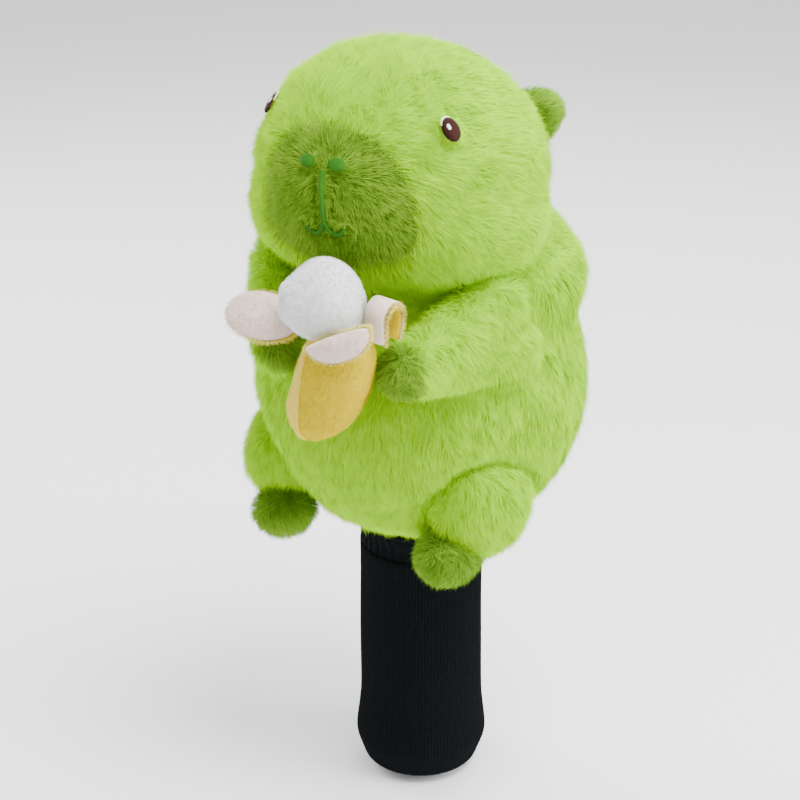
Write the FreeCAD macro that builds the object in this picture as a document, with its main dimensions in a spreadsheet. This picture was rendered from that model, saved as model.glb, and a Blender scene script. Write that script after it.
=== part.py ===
import FreeCAD, Part
import os
import Sketcher

# Plush driver head cover: a seated capybara hugging a peeled banana, with a knitted neck sleeve.
# Millimetres. Origin: centre of the pocket mouth, where the sleeve is sewn to the plush body.
# +Z points up the pocket (the way the club goes in), the face looks along -Y, +X is the animal's left.

os.makedirs("parts", exist_ok=True)
doc = FreeCAD.newDocument("driver_head_cover")
sheet = doc.addObject("Spreadsheet::Sheet", "dims")

VALUES = [
    # plush body and head (rounded forms, half sizes)
    ("pile_depth", 6.0), ("seam_gap", 0.2), ("move_gap", 0.6),
    ("torso_wide", 86.0), ("torso_deep", 80.0), ("torso_tall", 88.0),
    ("torso_back", -2.0), ("torso_up", 80.0),
    ("skull_wide", 72.0), ("skull_deep", 66.5), ("skull_tall", 58.5),
    ("skull_back", -19.0), ("skull_up", 193.0), ("skull_tilt", -16.0),
    ("jowl_wide", 77.0), ("jowl_deep", 57.0), ("jowl_tall", 35.5), ("jowl_back", -25.0), ("jowl_up", 171.0),
    ("nape_wide", 82.0), ("nape_deep", 62.0), ("nape_tall", 44.0), ("nape_back", 8.0), ("nape_up", 136.0),
    ("neck_level", 146.0), ("base_level", 16.0), ("belly_half", 46.0), ("gusset_half", 22.0),
    ("snout_wide", 42.0), ("snout_deep", 34.0), ("snout_tall", 36.0),
    ("snout_back", -60.0), ("snout_up", 189.0),
    # pocket for the club head
    ("pocket_radius", 61.0), ("pocket_up", 77.0), ("lining_thick", 1.6), ("throat_radius", 28.5), ("throat_long", 21.9),
    ("binding_radius", 31.2), ("binding_thick", 1.9),
    # knitted sleeve
    ("sleeve_radius", 32.5), ("knit_thick", 1.6), ("sleeve_top", -15.0), ("sleeve_low", -110.0),
    ("bulge_radius", 35.0), ("bulge_level", -130.0), ("hem_level", -147.0), ("hem_radius", 22.0),
    ("hem_long", 8.0), ("hem_thick", 3.2),
    # embroidery
    ("stitch_low", 0.2), ("stitch_high", 1.3),
    ("iris_wide", 4.6), ("iris_tall", 6.0), ("iris_high", 1.3), ("glint_wide", 1.4),
    ("nostril_wide", 4.6), ("nostril_tall", 3.0), ("nostril_apart", 8.2), ("nostril_up", 208.0),
    ("lip_line", 1.3), ("lip_radius", 9.0), ("lip_up", 184.0), ("lip_top", 205.0),
    # ears
    ("ear_wide", 13.0), ("ear_tall", 16.0), ("ear_thick", 5.0),
    # arms, paws and banana
    ("arm_root", 26.0), ("arm_wrist", 13.5), ("paw_radius", 14.0),
    ("pod_wide", 20.0), ("pod_deep", 16.0), ("pod_tall", 36.0), ("peel_thick", 2.0),
    ("pod_x", 13.5), ("pod_y", -105.0), ("pod_z", 113.0), ("pod_lean", 12.0), ("pod_rim", 137.0),
    ("fruit_wide", 19.0), ("fruit_deep", 17.5), ("fruit_tall", 23.0),
    ("fruit_x", 11.0), ("fruit_y", -105.0), ("fruit_z", 148.0), ("fruit_lean", -14.0),
    ("flap_long", 20.0), ("flap_wide", 13.0), ("flap_thick", 3.2), ("flap_level", 139.5), ("flap_tilt", 55.0),
    ("fold_long", 15.0), ("fold_wide", 9.5), ("fold_turn", 20.0),
    ("curl_outer", 8.6), ("curl_middle", 7.0), ("curl_inner", 5.4), ("curl_wide", 15.0), ("curl_leg", 6.0),
    # legs
    ("thigh_wide", 25.0), ("thigh_deep", 29.0), ("thigh_tall", 30.0),
    ("foot_wide", 17.5), ("foot_deep", 20.0), ("foot_tall", 16.0),
]
value = {}
for row, (alias, number) in enumerate(VALUES, start=1):
    sheet.set("A%d" % row, alias)
    sheet.set("B%d" % row, str(number))
    sheet.setAlias("B%d" % row, alias)
    value[alias] = number
doc.recompute()

NODES = []
X_AXIS = FreeCAD.Vector(1, 0, 0)
Y_AXIS = FreeCAD.Vector(0, 1, 0)
Z_AXIS = FreeCAD.Vector(0, 0, 1)
LEFT_AND_RIGHT = (("left", 1), ("right", -1))


def turn(axis, angle):
    return FreeCAD.Rotation(axis, angle)


def add(kind, name, position, rotation=None, **sizes):
    """One Part primitive; every size is an expression on the sheet."""
    item = doc.addObject(kind, name)
    item.Placement = FreeCAD.Placement(FreeCAD.Vector(*position), rotation or FreeCAD.Rotation())
    for size, formula in sizes.items():
        item.setExpression(size, str(formula))
    return item


def ovoid(name, position, wide, deep, tall, rotation=None, grow="0"):
    """Closed egg-like form with its three half sizes along X, Y and Z."""
    return add("Part::Ellipsoid", name, position, rotation,
               Radius2="(%s) + %s" % (wide, grow),
               Radius3="(%s) + %s" % (deep, grow),
               Radius1="(%s) + %s" % (tall, grow))


def block(name, low, high):
    """Plain block between two corners, used to split forms along seams."""
    item = doc.addObject("Part::Box", name)
    item.Placement.Base = FreeCAD.Vector(*low)
    item.Length = high[0] - low[0]
    item.Width = high[1] - low[1]
    item.Height = high[2] - low[2]
    return item


def cut(name, base, tool):
    item = doc.addObject("Part::Cut", name)
    item.Base = base
    item.Tool = tool
    return item


def common(name, base, tool):
    item = doc.addObject("Part::Common", name)
    item.Base = base
    item.Tool = tool
    return item


def fuse(name, items):
    item = doc.addObject("Part::MultiFuse", name)
    item.Shapes = items
    return item


def node(item, label):
    item.Label = label
    NODES.append(item)
    return item


def turned(label, outline, formulas):
    """Body turned about Z from a closed outline of (radius, height) points.

    formulas maps a point number to its (radius, height) expressions on the sheet.
    """
    body = doc.addObject("PartDesign::Body", label)
    plane = [f for f in body.Origin.OriginFeatures if f.Role == "XZ_Plane"][0]
    sketch = body.newObject("Sketcher::SketchObject", label + "_outline")
    sketch.AttachmentSupport = [(plane, "")]
    sketch.MapMode = "FlatFace"
    count = len(outline)
    for i in range(count):
        start = FreeCAD.Vector(outline[i][0], outline[i][1], 0)
        end = FreeCAD.Vector(outline[(i + 1) % count][0], outline[(i + 1) % count][1], 0)
        sketch.addGeometry(Part.LineSegment(start, end), False)
    for i in range(count):
        sketch.addConstraint(Sketcher.Constraint("Coincident", i, 2, (i + 1) % count, 1))
    for i, (radius, height) in enumerate(formulas):
        for kind, amount, formula in (("DistanceX", outline[i][0], radius), ("DistanceY", outline[i][1], height)):
            index = sketch.addConstraint(Sketcher.Constraint(kind, -1, 1, i, 1, amount))
            sketch.setExpression("Constraints[%d]" % index, formula)
    form = body.newObject("PartDesign::Revolution", label + "_turned")
    form.Profile = sketch
    form.ReferenceAxis = (sketch, ["V_Axis"])
    form.Angle = 360
    body.Tip = form
    return node(body, label)


def swung(position, rotation, pivot, axis, angle):
    """Placement of something after it has swung about a hinge."""
    swing = turn(axis, angle)
    centre = pivot + swing.multVec(FreeCAD.Vector(*position) - pivot)
    return (centre.x, centre.y, centre.z), swing.multiply(rotation)


# ---------------------------------------------------------------- plush torso, head and snout forms
TORSO = (0, value["torso_back"], value["torso_up"])
SKULL = (0, value["skull_back"], value["skull_up"])
SNOUT = (0, value["snout_back"], value["snout_up"])
NAPE = (0, value["nape_back"], value["nape_up"])
JOWL = (0, value["jowl_back"], value["jowl_up"])
POCKET = (0, value["torso_back"], value["pocket_up"])
LEVEL = FreeCAD.Rotation()
SKULL_TURN = turn(X_AXIS, value["skull_tilt"])


def torso(name, grow="0", position=TORSO, rotation=LEVEL):
    return ovoid(name, position, "dims.torso_wide", "dims.torso_deep", "dims.torso_tall", rotation, grow)


def skull(name, grow="0", position=SKULL, rotation=SKULL_TURN):
    return ovoid(name, position, "dims.skull_wide", "dims.skull_deep", "dims.skull_tall", rotation, grow)


def nape(name, grow="0", position=NAPE, rotation=LEVEL):
    return ovoid(name, position, "dims.nape_wide", "dims.nape_deep", "dims.nape_tall", rotation, grow)


def jowl(name, grow="0"):
    return ovoid(name, JOWL, "dims.jowl_wide", "dims.jowl_deep", "dims.jowl_tall", LEVEL, grow)


def plush(name, grow="0"):
    """Torso, nape, cheeks and head as one rounded form."""
    return fuse(name, [torso(name + "_torso", grow), nape(name + "_nape", grow), jowl(name + "_jowl", grow),
                       skull(name + "_skull", grow)])


def snout(name, grow="0"):
    return ovoid(name, SNOUT, "dims.snout_wide", "dims.snout_deep", "dims.snout_tall", LEVEL, grow)


def under(name):
    return block(name, (-200, -200, -60), (200, 200, 0))


def throat_void(name):
    return add("Part::Cylinder", name, (0, 0, -10),
               Radius="dims.throat_radius + dims.lining_thick + dims.seam_gap", Height="60")


pile_outside = cut("pile_outside", plush("plush_form"), under("ground_a"))
lifted = block("above_seat", (-200, -200, value["pile_depth"]), (200, 200, 400))
pile = cut("pile", pile_outside, common("plush_inside_lifted", plush("plush_inside", "-dims.pile_depth"), lifted))
pile = cut("pile_open", pile, throat_void("throat_void_a"))

half = value["belly_half"]
neck = value["neck_level"]
side = value["gusset_half"]
base = value["base_level"]
PANELS = (
    ("base_panel", (-200, -200, -10), (200, 200, base)),
    ("belly_panel", (-half, -200, base), (half, value["torso_back"], neck)),
    ("back_panel", (-half, value["torso_back"], base), (half, 200, neck)),
    ("side_panel_left", (half, -200, base), (200, 200, neck)),
    ("side_panel_right", (-200, -200, base), (-half, 200, neck)),
    ("head_gusset", (-side, -200, neck), (side, 200, 300)),
    ("head_side_left", (side, -200, neck), (200, 200, 300)),
    ("head_side_right", (-200, -200, neck), (-side, 200, 300)),
)
for label, low, high in PANELS:
    node(common(label, pile, block(label + "_bounds", low, high)), label)

# stuffing of the torso and the head, and the fabric pocket for the club
fill = plush("filling", "-dims.pile_depth - dims.seam_gap")
lower = common("filling_low", fill, block("filling_low_bounds", (-200, -200, value["pile_depth"] + value["seam_gap"]),
                                          (200, 200, neck - value["seam_gap"])))
hollow = add("Part::Sphere", "pocket_void", POCKET, Radius="dims.pocket_radius + dims.lining_thick + dims.seam_gap")
node(cut("body_padding", lower, fuse("padding_void", [hollow, throat_void("throat_void_b")])), "body_padding")
node(common("head_stuffing", fill, block("filling_high_bounds", (-200, -200, neck + value["seam_gap"]),
                                         (200, 200, 300))), "head_stuffing")

bag = cut("lining_shell",
          add("Part::Sphere", "lining_outside", POCKET, Radius="dims.pocket_radius + dims.lining_thick"),
          add("Part::Sphere", "lining_inside", POCKET, Radius="dims.pocket_radius"))
bag = cut("lining_open", bag,
          add("Part::Cylinder", "lining_mouth", (0, 0, -10), Radius="dims.throat_radius + dims.lining_thick",
              Height="50"))
middle = value["torso_back"]
GORES = (
    ("lining_front_left", (0, -100, 0), (100, middle, 200)),
    ("lining_front_right", (-100, -100, 0), (0, middle, 200)),
    ("lining_back_left", (0, middle, 0), (100, 100, 200)),
    ("lining_back_right", (-100, middle, 0), (0, 100, 200)),
)
for label, low, high in GORES:
    node(common(label, bag, block(label + "_bounds", low, high)), label)
node(cut("throat_lining",
         add("Part::Cylinder", "throat_outside", (0, 0, 0), Radius="dims.throat_radius + dims.lining_thick",
             Height="dims.throat_long"),
         add("Part::Cylinder", "throat_inside", (0, 0, -1), Radius="dims.throat_radius", Height="dims.throat_long + 2")),
     "throat_lining")

node(add("Part::Torus", "pocket_binding", (0, 0, -value["binding_thick"] - value["seam_gap"]),
         Radius1="dims.binding_radius", Radius2="dims.binding_thick"), "pocket_binding")

# snout
muzzle = cut("muzzle_pile", snout("snout_form"), snout("snout_inside", "-dims.pile_depth"))
muzzle = cut("muzzle_on_skull", muzzle, skull("skull_under_snout", "dims.seam_gap"))
node(cut("muzzle_panel", muzzle, jowl("jowl_under_snout", "dims.seam_gap")), "muzzle_panel")
core = cut("muzzle_core", snout("snout_core", "-dims.pile_depth - dims.seam_gap"),
           skull("skull_under_core", "dims.seam_gap"))
node(cut("muzzle_stuffing", core, jowl("jowl_under_core", "dims.seam_gap")), "muzzle_stuffing")


# ---------------------------------------------------------------- embroidery
def stitched(label, form, low, high, stamp):
    """Thin stitched patch: a layer just outside a form, bounded by a stamp pushed through it."""
    layer = cut(label + "_layer", form(label + "_high", high), form(label + "_low", low))
    return node(common(label, layer, stamp), label)


def oval_stamp(name, centre, rotation, wide, tall, long):
    """Long oval form through a point; its long axis is the local Y axis."""
    return add("Part::Ellipsoid", name, centre, rotation, Radius2=wide, Radius3=str(long / 2.0), Radius1=tall)


for name, sign in LEFT_AND_RIGHT:
    stamp = oval_stamp("nostril_%s_stamp" % name,
                       (sign * value["nostril_apart"], value["snout_back"] - 30, value["nostril_up"]),
                       turn(Y_AXIS, sign * 28), "dims.nostril_wide", "dims.nostril_tall", 30)
    stitched("nostril_" + name, snout, "dims.stitch_low", "dims.stitch_high", stamp)

smile = []
for name, sign in LEFT_AND_RIGHT:
    place = (sign * value["lip_radius"], value["snout_back"] - 50, value["lip_up"])
    facing = turn(X_AXIS, -90)
    ring = cut("lip_ring_" + name,
               add("Part::Cylinder", "lip_outer_" + name, place, facing,
                   Radius="dims.lip_radius + dims.lip_line / 2", Height="40"),
               add("Part::Cylinder", "lip_inner_" + name, place, facing,
                   Radius="dims.lip_radius - dims.lip_line / 2", Height="40"))
    smile.append(common("lip_half_" + name, ring,
                        block("lip_bounds_" + name, (-60, -200, value["lip_up"] - 30), (60, -60, value["lip_up"]))))
line = value["lip_line"] / 2
smile.append(block("philtrum", (-line, value["snout_back"] - 50, value["lip_up"] - 1),
                   (line, value["snout_back"] - 10, value["lip_top"])))
stitched("mouth_stitch", snout, "dims.stitch_low", "dims.stitch_high", fuse("smile", smile))

def pad(name, centre, rotation, wide, tall, high):
    """Oval pad with a flat back: local X is its width, local Z its height, and it rises along local -Y."""
    form = add("Part::Ellipsoid", name + "_form", centre, rotation, Radius2=wide, Radius3=high, Radius1=tall)
    front = block(name + "_front", (-20, -20, -20), (20, 0, 20))
    front.Placement = FreeCAD.Placement(FreeCAD.Vector(*centre), rotation).multiply(
        FreeCAD.Placement(FreeCAD.Vector(-20, -20, -20), FreeCAD.Rotation()))
    return common(name, form, front)


for name, sign in LEFT_AND_RIGHT:
    centre = FreeCAD.Vector(sign * 48.4, -56.8, 223.3)
    outward = FreeCAD.Vector(sign * 0.63, -0.55, 0.55).normalize()
    facing = FreeCAD.Rotation(FreeCAD.Vector(0, -1, 0), outward)
    lean = facing.multiply(turn(Y_AXIS, sign * 14))
    across = lean.multVec(FreeCAD.Vector(sign, 0, 0))
    upward = lean.multVec(Z_AXIS)
    seat = centre + outward * 0.5
    node(pad("eye_" + name, tuple(seat), lean, "dims.iris_wide", "dims.iris_tall", "dims.iris_high"), "eye_" + name)
    spot = seat - across * 1.0 + upward * 1.8 + outward * (value["iris_high"] + 0.1)
    node(pad("eye_glint_" + name, tuple(spot), lean, "dims.glint_wide", "dims.glint_wide + 0.3", "0.6"),
         "eye_glint_" + name)
    spot = seat - across * 2.2 + upward * 2.8
    moon = pad("corner_%s_pad" % name, tuple(spot), lean, "dims.iris_wide", "dims.iris_tall - 0.6", "0.9")
    keep = add("Part::Ellipsoid", "corner_%s_keep" % name, tuple(seat), lean,
               Radius2="dims.iris_wide + 0.3", Radius3="60", Radius1="dims.iris_tall + 0.3")
    node(cut("eye_corner_" + name, moon, keep), "eye_corner_" + name)

# ---------------------------------------------------------------- ears (fold on a hinge along their root)
for name, sign in LEFT_AND_RIGHT:
    root = FreeCAD.Vector(sign * 50, 20, 213)
    outward = FreeCAD.Vector(sign * 0.80, 0.28, 0.53).normalize()
    front = FreeCAD.Vector(sign * 0.30, -0.95, 0.0)
    front = (front - outward * front.dot(outward)).normalize()
    hinge = outward.cross(front)
    frame = FreeCAD.Rotation(hinge, front * -1, outward, "ZXY")
    middle = root + outward * 6
    shapes = []
    for part, low, high in (("face", -40, -0.1), ("back", 0.1, 40)):
        form = ovoid("ear_%s_%s_form" % (name, part), tuple(middle), "dims.ear_wide", "dims.ear_thick",
                     "dims.ear_tall", frame)
        half_space = block("ear_%s_%s_half" % (name, part), (-40, low, -40), (40, high, 40))
        half_space.Placement = FreeCAD.Placement(middle, frame).multiply(
            FreeCAD.Placement(FreeCAD.Vector(-40, low, -40), FreeCAD.Rotation()))
        lobe = common("ear_%s_%s_lobe" % (name, part), form, half_space)
        for step, angle in enumerate((-35, -12, 0, 12, 30)):
            place, rotation = swung(SKULL, SKULL_TURN, root, hinge, angle)
            lobe = cut("ear_%s_%s_clear%d" % (name, part, step), lobe,
                       skull("ear_%s_%s_skull%d" % (name, part, step), "dims.move_gap", place, rotation))
        node(lobe, "ear_%s_%s" % (name, part))

# ---------------------------------------------------------------- arms, paws and banana (swing together)
ARM_PIVOT = FreeCAD.Vector(0, -22, 112)
ARM_ANGLES = (-12, 4)
WRISTS = {"left": FreeCAD.Vector(43, -88, 118), "right": FreeCAD.Vector(-25, -91.5, 116)}
SHOULDERS = {"left": FreeCAD.Vector(57, -28, 121), "right": FreeCAD.Vector(-57, -28, 121)}
POD = (value["pod_x"], value["pod_y"], value["pod_z"])
POD_TURN = turn(Y_AXIS, value["pod_lean"])
FRUIT = (value["fruit_x"], value["fruit_y"], value["fruit_z"])


def pod(name, grow="0"):
    return ovoid(name, POD, "dims.pod_wide", "dims.pod_deep", "dims.pod_tall", POD_TURN, grow)


for name, sign in LEFT_AND_RIGHT:
    wrist = WRISTS[name]
    shoulder = SHOULDERS[name]
    reach = wrist - shoulder
    facing = FreeCAD.Rotation(Z_AXIS, reach)
    sleeve = add("Part::Cone", "arm_%s_cone" % name, tuple(shoulder), facing,
                 Radius1="dims.arm_root", Radius2="dims.arm_wrist", Height=str(reach.Length))
    ball = add("Part::Sphere", "arm_%s_ball" % name, tuple(shoulder), facing, Radius="dims.arm_root")
    limb = fuse("arm_%s_form" % name, [sleeve, ball])
    paw = add("Part::Sphere", "paw_%s_form" % name, tuple(wrist), facing, Radius="dims.paw_radius")
    for step, angle in enumerate(ARM_ANGLES):
        place, rotation = swung(TORSO, LEVEL, ARM_PIVOT, X_AXIS, angle)
        limb = cut("arm_%s_clear%d" % (name, step), limb,
                   torso("arm_%s_torso%d" % (name, step), "dims.move_gap", place, rotation))
        place, rotation = swung(NAPE, LEVEL, ARM_PIVOT, X_AXIS, angle)
        limb = cut("arm_%s_back%d" % (name, step), limb,
                   nape("arm_%s_nape%d" % (name, step), "dims.move_gap", place, rotation))
    limb = cut("arm_%s_end" % name, limb,
               add("Part::Sphere", "arm_%s_cup" % name, tuple(wrist), facing,
                   Radius="dims.paw_radius + dims.seam_gap"))
    node(limb, "arm_" + name)
    for step, angle in enumerate(ARM_ANGLES):
        place, rotation = swung(TORSO, LEVEL, ARM_PIVOT, X_AXIS, angle)
        paw = cut("paw_%s_clear%d" % (name, step), paw,
                  torso("paw_%s_torso%d" % (name, step), "dims.move_gap", place, rotation))
    node(cut("paw_" + name, paw, pod("paw_%s_pod" % name, "dims.seam_gap")), "paw_" + name)

rim = block("pod_mouth", (-60, -200, value["pod_rim"]), (80, 0, 260))
shell = cut("pod_shell", cut("pod_wall", pod("pod_form"), pod("pod_inside", "-dims.peel_thick")), rim)
seam = value["pod_x"] - 11
node(common("banana_pod_front", shell, block("pod_front_bounds", (seam, -200, 0), (80, 0, 260))), "banana_pod_front")
node(common("banana_pod_side", shell, block("pod_side_bounds", (-60, -200, 0), (seam, 0, 260))), "banana_pod_side")
core = pod("pod_core", "-dims.peel_thick - dims.seam_gap")
node(cut("banana_stuffing", core, block("core_top", (-60, -200, value["pod_rim"] - 8), (80, 0, 260))),
     "banana_stuffing")
fruit = ovoid("fruit_form", FRUIT, "dims.fruit_wide", "dims.fruit_deep", "dims.fruit_tall",
              turn(Y_AXIS, value["fruit_lean"]))
fruit = cut("fruit_seated", fruit, block("fruit_floor", (-60, -200, 0), (80, 0, value["pod_rim"] + 0.2)))
node(fruit, "banana_fruit")

# peel flaps: each is a peel layer and a pale inner layer
def petal(label, position, rotation, long, wide, thick, keep_low, keep_high, away=None):
    """One face of a pillow-shaped petal; the local Z axis goes from the peel side to the inner side."""
    form = add("Part::Ellipsoid", label + "_form", position, rotation, Radius2=long, Radius3=wide, Radius1=thick)
    bounds = block(label + "_bounds", (-60, -60, keep_low), (60, 60, keep_high))
    bounds.Placement = FreeCAD.Placement(FreeCAD.Vector(*position), rotation).multiply(
        FreeCAD.Placement(FreeCAD.Vector(-60, -60, keep_low), FreeCAD.Rotation()))
    form = common(label + "_half", form, bounds)
    for step, keepout in enumerate(away or []):
        form = cut("%s_clear%d" % (label, step), form, keepout)
    return node(form, label)


fold = turn(Z_AXIS, value["fold_turn"])
fold_middle = FreeCAD.Vector(POD[0], POD[1], 128.5) + fold.multVec(FreeCAD.Vector(0, -20.5, 0))
for layer, low, high in (("peel", -20, -0.1), ("inner", 0.1, 20)):
    petal("flap_left_" + layer, (-28, -108, value["flap_level"]), turn(X_AXIS, value["flap_tilt"]),
          "dims.flap_long", "dims.flap_wide", "dims.flap_thick", low, high)
    petal("flap_front_" + layer, tuple(fold_middle), fold.multiply(turn(X_AXIS, 84)),
          "dims.fold_long", "dims.fold_wide", "dims.flap_thick", low, high)

CURL = FreeCAD.Vector(42, -97, 143.6)


def arch(name, radius):
    """Rod with a half-round top and straight sides, lying along Y."""
    back = CURL.y + value["curl_wide"] / 2
    rod = add("Part::Cylinder", name + "_rod", (CURL.x, back, CURL.z), turn(X_AXIS, 90),
              Radius=radius, Height="dims.curl_wide")
    legs = add("Part::Box", name + "_legs", (CURL.x, CURL.y - value["curl_wide"] / 2, CURL.z - value["curl_leg"]),
               None, Length="2 * (%s)" % radius, Width="dims.curl_wide", Height="dims.curl_leg")
    legs.setExpression("Placement.Base.x", "%s - (%s)" % (CURL.x, radius))
    return fuse(name, [rod, legs])


for layer, outer, inner in (("inner", "dims.curl_outer", "dims.curl_middle + 0.1"),
                            ("peel", "dims.curl_middle - 0.1", "dims.curl_inner")):
    hoop = cut("flap_right_%s_hoop" % layer, arch("flap_right_%s_out" % layer, outer),
               arch("flap_right_%s_in" % layer, inner))
    open_end = block("flap_right_%s_bounds" % layer, (0, -140, CURL.z - value["curl_leg"] + 0.2), (80, -60, CURL.z + 40))
    node(common("flap_right_" + layer, hoop, open_end), "flap_right_" + layer)

# ---------------------------------------------------------------- legs (swing a little at the hips)
for name, sign in LEFT_AND_RIGHT:
    hip = FreeCAD.Vector(sign * 55, -30, 44)
    thigh_at = (sign * 55, -36, 37)
    foot_at = (sign * 49, -55, 12)
    thigh = ovoid("leg_%s_form" % name, thigh_at, "dims.thigh_wide", "dims.thigh_deep", "dims.thigh_tall")
    foot = ovoid("foot_%s_form" % name, foot_at, "dims.foot_wide", "dims.foot_deep", "dims.foot_tall")
    foot = cut("foot_%s_seam" % name, foot,
               ovoid("foot_%s_thigh" % name, thigh_at, "dims.thigh_wide", "dims.thigh_deep", "dims.thigh_tall",
                     LEVEL, "dims.seam_gap"))
    for step, angle in enumerate((-10, 10)):
        place, rotation = swung(TORSO, LEVEL, hip, X_AXIS, angle)
        thigh = cut("leg_%s_clear%d" % (name, step), thigh,
                    torso("leg_%s_torso%d" % (name, step), "dims.move_gap", place, rotation))
        foot = cut("foot_%s_clear%d" % (name, step), foot,
                   torso("foot_%s_torso%d" % (name, step), "dims.move_gap", place, rotation))
    node(thigh, "leg_" + name)
    node(foot, "foot_" + name)

# ---------------------------------------------------------------- knitted sleeve
radius = value["sleeve_radius"]
thick = value["knit_thick"]
top = value["sleeve_top"]
low = value["sleeve_low"]
bulge = value["bulge_radius"]
bulge_z = value["bulge_level"]
hem_z = value["hem_level"]
mouth = value["hem_radius"]



def knit_wall(label, inset):
    """Tube of one knit layer with a fuller rounded end that turns in to the mouth."""
    r = radius - inset
    b = bulge - inset
    skin = "dims.knit_thick"
    outline = [
        (r, top), (r, low), (b, bulge_z + 4), (b, bulge_z - 3), (b - 2.2, bulge_z - 9),
        (mouth + 5.6, hem_z + inset), (mouth + 5.6, hem_z + inset + thick), (b - 2.2 - thick, bulge_z - 8.4),
        (b - thick, bulge_z - 3), (b - thick, bulge_z + 4), (r - thick, low), (r - thick, top)]
    formulas = [
        ("dims.sleeve_radius - %s" % inset, "dims.sleeve_top"),
        ("dims.sleeve_radius - %s" % inset, "dims.sleeve_low"),
        ("dims.bulge_radius - %s" % inset, "dims.bulge_level + 4"),
        ("dims.bulge_radius - %s" % inset, "dims.bulge_level - 3"),
        ("dims.bulge_radius - %s - 2.2" % inset, "dims.bulge_level - 9"),
        ("dims.hem_radius + 5.6", "dims.hem_level + %s" % inset),
        ("dims.hem_radius + 5.6", "dims.hem_level + %s + %s" % (inset, skin)),
        ("dims.bulge_radius - %s - 2.2 - %s" % (inset, skin), "dims.bulge_level - 8.4"),
        ("dims.bulge_radius - %s - %s" % (inset, skin), "dims.bulge_level - 3"),
        ("dims.bulge_radius - %s - %s" % (inset, skin), "dims.bulge_level + 4"),
        ("dims.sleeve_radius - %s - %s" % (inset, skin), "dims.sleeve_low"),
        ("dims.sleeve_radius - %s - %s" % (inset, skin), "dims.sleeve_top")]
    return turned(label, outline, formulas)


knit_wall("sleeve_knit", 0.0)
knit_wall("sleeve_lining", thick + 0.6)
hem_out = mouth + 5.4
turned("sleeve_hem",
       [(mouth, hem_z), (hem_out, hem_z), (hem_out, hem_z + value["hem_long"]), (mouth, hem_z + value["hem_long"])],
       [("dims.hem_radius", "dims.hem_level"), ("dims.hem_radius + 5.4", "dims.hem_level"),
        ("dims.hem_radius + 5.4", "dims.hem_level + dims.hem_long"),
        ("dims.hem_radius", "dims.hem_level + dims.hem_long")])
turned("sleeve_gather",
       [(30.5, top + 0.3), (32.5, top + 0.3), (33.5, -4.4), (31.5, -4.4)],
       [("dims.sleeve_radius - 2", "dims.sleeve_top + 0.3"), ("dims.sleeve_radius", "dims.sleeve_top + 0.3"),
        ("dims.sleeve_radius + 1", "-4.4"), ("dims.sleeve_radius - 1", "-4.4")])

# ---------------------------------------------------------------- recompute, check and write
doc.recompute()
for item in doc.Objects:
    state = [word for word in item.State if word in ("Invalid", "Error")]
    if state:
        raise RuntimeError("%s does not compute: %s" % (item.Label, state))
for item in NODES:
    shape = item.Shape
    if shape.isNull() or not shape.isValid() or not shape.Solids:
        raise RuntimeError("%s has no valid solid" % item.Label)
    shape.exportStep("parts/%s.step" % item.Label)
    box = shape.optimalBoundingBox(True)
    print("%-18s %2d solid  %8.2f cm3  x %.1f %.1f  y %.1f %.1f  z %.1f %.1f" % (
        item.Label, len(shape.Solids), shape.Volume / 1000, box.XMin, box.XMax, box.YMin, box.YMax,
        box.ZMin, box.ZMax))
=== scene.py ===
import math

import bpy
import numpy as np
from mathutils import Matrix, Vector, kdtree, noise


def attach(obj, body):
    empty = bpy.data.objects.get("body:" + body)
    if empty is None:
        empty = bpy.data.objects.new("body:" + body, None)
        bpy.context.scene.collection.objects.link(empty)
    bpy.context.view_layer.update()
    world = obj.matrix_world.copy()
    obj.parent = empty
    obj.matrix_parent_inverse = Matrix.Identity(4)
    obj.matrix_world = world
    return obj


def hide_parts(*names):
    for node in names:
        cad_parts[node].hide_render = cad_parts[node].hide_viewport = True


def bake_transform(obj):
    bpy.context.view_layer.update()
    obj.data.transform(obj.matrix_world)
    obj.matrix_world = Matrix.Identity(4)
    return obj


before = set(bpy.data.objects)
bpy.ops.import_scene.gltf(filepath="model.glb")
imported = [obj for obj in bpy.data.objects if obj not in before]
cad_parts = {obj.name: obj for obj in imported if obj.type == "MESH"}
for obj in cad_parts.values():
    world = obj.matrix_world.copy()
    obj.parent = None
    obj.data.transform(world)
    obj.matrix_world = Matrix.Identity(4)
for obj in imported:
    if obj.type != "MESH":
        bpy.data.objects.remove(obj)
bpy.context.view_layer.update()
MM = 0.001
UP = np.array([0.0, 0.0, 1.0])
SHARE = 90000  # fibres in one piece, at most


# ------------------------------------------------------------------ forms as distance fields, in millimetres
def turn(axis, degrees):
    """Rotation matrix about one axis."""
    a = math.radians(degrees)
    c, s = math.cos(a), math.sin(a)
    if axis == "X":
        return np.array([[1, 0, 0], [0, c, -s], [0, s, c]])
    if axis == "Y":
        return np.array([[c, 0, s], [0, 1, 0], [-s, 0, c]])
    return np.array([[c, -s, 0], [s, c, 0], [0, 0, 1]])


def unit(v):
    return v / np.maximum(np.linalg.norm(v, axis=-1, keepdims=True), 1e-9)


def egg(centre, radii, rotation=None):
    """Ellipsoid; below zero inside, as every field here."""
    centre = np.array(centre, float)
    radii = np.array(radii, float)
    rotation = np.eye(3) if rotation is None else rotation

    def field(p):
        q = (p - centre) @ rotation
        near = np.linalg.norm(q / radii, axis=1)
        slope = np.linalg.norm(q / radii ** 2, axis=1)
        return near * (near - 1) / np.maximum(slope, 1e-9)
    return field


def taper(a, b, ra, rb):
    """Round limb from a to b, its radius going from ra to rb."""
    a = np.array(a, float)
    b = np.array(b, float)

    def field(p):
        t = np.clip((p - a) @ (b - a) / ((b - a) @ (b - a)), 0, 1)
        return np.linalg.norm(p - (a + t[:, None] * (b - a)), axis=1) - (ra + (rb - ra) * t)
    return field


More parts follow.
